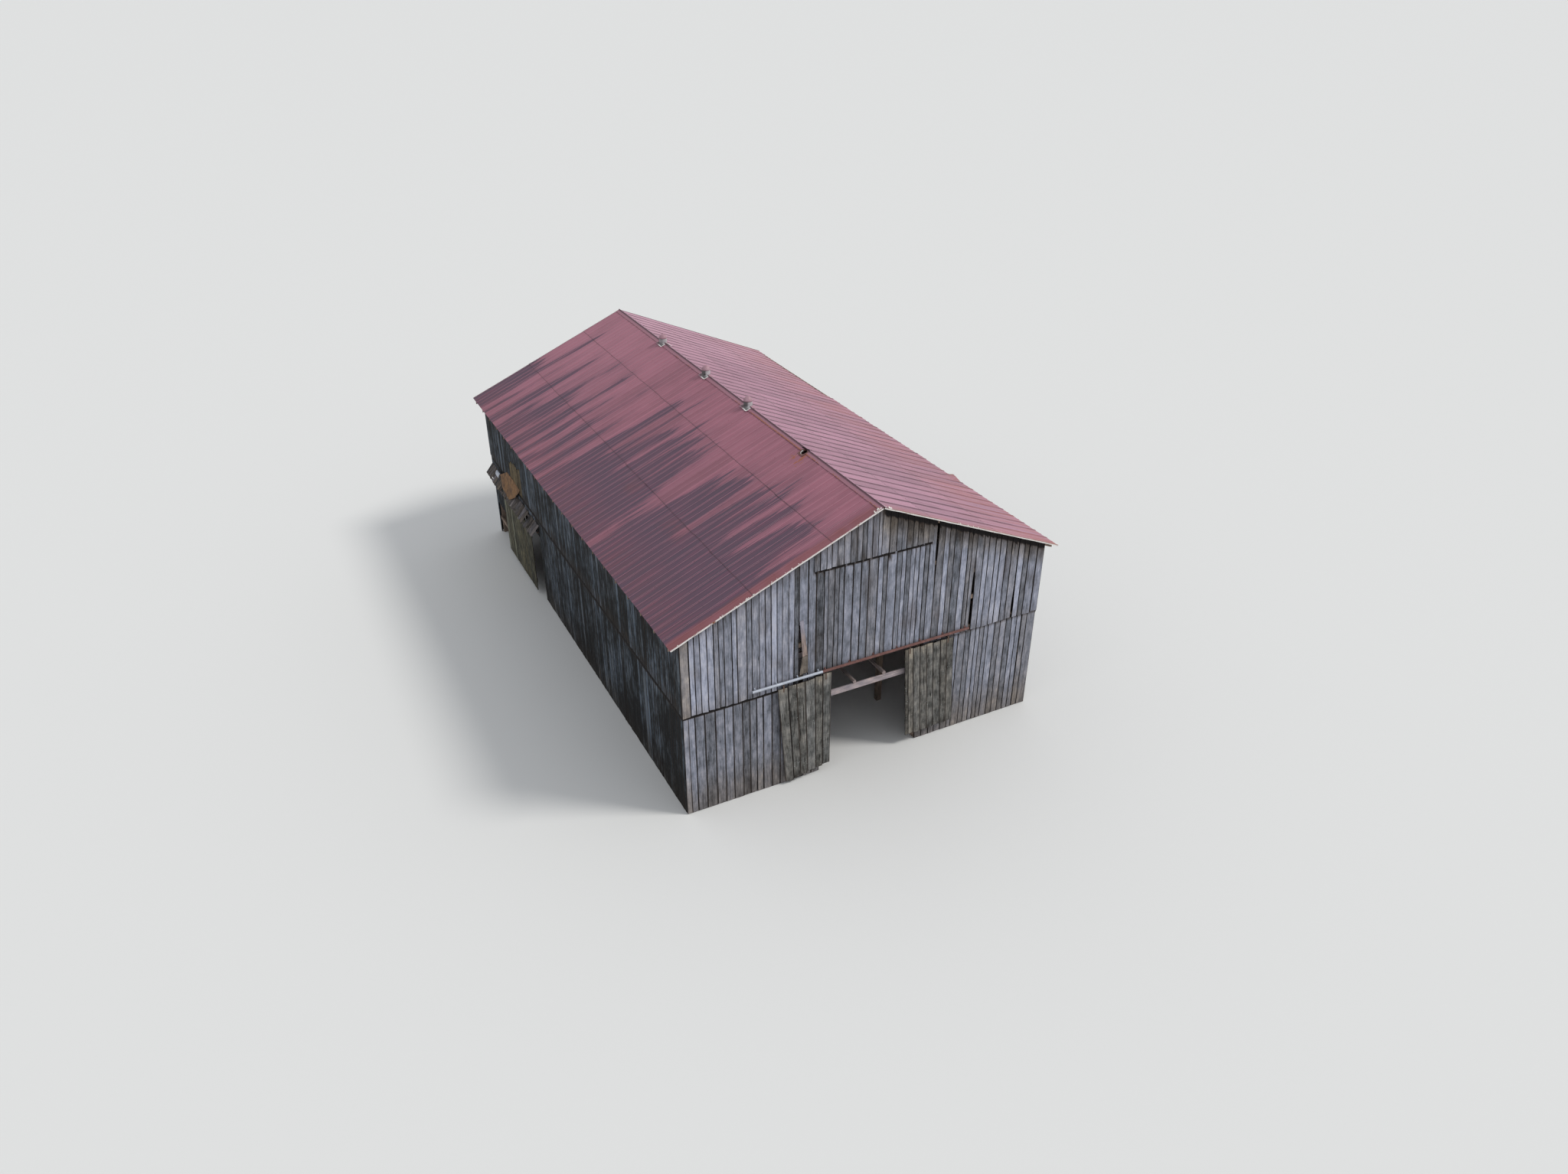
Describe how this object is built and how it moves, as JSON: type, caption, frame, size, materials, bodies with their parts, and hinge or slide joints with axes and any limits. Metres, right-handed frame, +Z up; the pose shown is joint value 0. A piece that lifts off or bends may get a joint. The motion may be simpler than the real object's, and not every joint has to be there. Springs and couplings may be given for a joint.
{
  "type": "timber barn",
  "caption": "Weathered timber barn with a low gable roof of red ribbed steel, ridge ventilators, sliding front doors and a hooded side door.",
  "frame": {"origin": "Middle of the footprint, on the lowest ground level.", "axes": "+X to the right along the front gable, +Y back along the ridge, +Z up."},
  "size_m": [14.0226, 22.552, 9.84],
  "materials": {
    "frame_wood": "weathered, rough",
    "girt_wood": "weathered, rough",
    "front_boards": "weathered, rough",
    "side_boards": "weathered, rough",
    "loose_wood": "weathered, rough",
    "door_wood": "weathered, rough",
    "pole_wood": "weathered, rough",
    "hood_wood": "weathered, rough",
    "red_roof_left": "faded red paint worn in long streaks",
    "red_roof_right": "faded red paint",
    "ridge_metal": "dark red paint with rust",
    "pale_trim": "worn pale paint",
    "vent_metal": "dull, weathered",
    "galvanised": "dull zinc",
    "rusty_steel": "rusty",
    "rust_sheet": "rusted through"
  },
  "bodies": {
    "barn": {"gable_posts": "frame_wood", "outer_posts": "frame_wood", "inner_posts": "frame_wood", "tie_beams": "frame_wood", "side_plates": "frame_wood", "inner_plates": "frame_wood", "left_rafters": "frame_wood", "right_rafters": "frame_wood", "roof_battens": "girt_wood", "front_girts": "girt_wood", "back_girts": "girt_wood", "side_girts": "girt_wood", "tier_rails": "pole_wood", "tier_poles": "pole_wood", "front_wall_left": "front_boards", "front_wall_right": "front_boards", "front_wall_upper": "front_boards", "front_wall_peak": "front_boards", "back_wall_lower": "front_boards", "back_wall_upper": "front_boards", "back_wall_peak": "front_boards", "right_wall_lower": "front_boards", "right_wall_upper": "front_boards", "loose_board": "loose_wood", "left_wall_front": "side_boards", "left_wall_back": "side_boards", "left_wall_over_door": "side_boards", "left_wall_upper": "side_boards", "roof_left": "red_roof_left", "roof_right": "red_roof_right", "ridge_cap": "ridge_metal", "rake_trim": "pale_trim", "ridge_vents": "vent_metal", "broken_vent": "vent_metal", "left_door_track": "galvanised", "right_door_track": "rusty_steel", "side_door_track": "rusty_steel", "side_door_hood": "hood_wood", "rusty_sheet": "rust_sheet"},
    "left_leaf": {"left_front_door": "door_wood", "left_door_hangers": "rusty_steel"},
    "right_leaf": {"right_front_door": "door_wood", "right_door_hangers": "rusty_steel"},
    "side_leaf": {"side_door": "door_wood", "side_door_hangers": "rusty_steel"}
  },
  "joints": [
    {"name": "left_front_door_slide", "type": "slide", "parent": "barn", "child": "left_leaf", "axis": [1, 0, 0], "range_m": [-0.75, 1.55]},
    {"name": "right_front_door_slide", "type": "slide", "parent": "barn", "child": "right_leaf", "axis": [1, 0, 0], "range_m": [-1.166, 0.72]},
    {"name": "side_door_slide", "type": "slide", "parent": "barn", "child": "side_leaf", "axis": [0, 1, 0], "range_m": [-0.68, 2.12]}
  ]
}
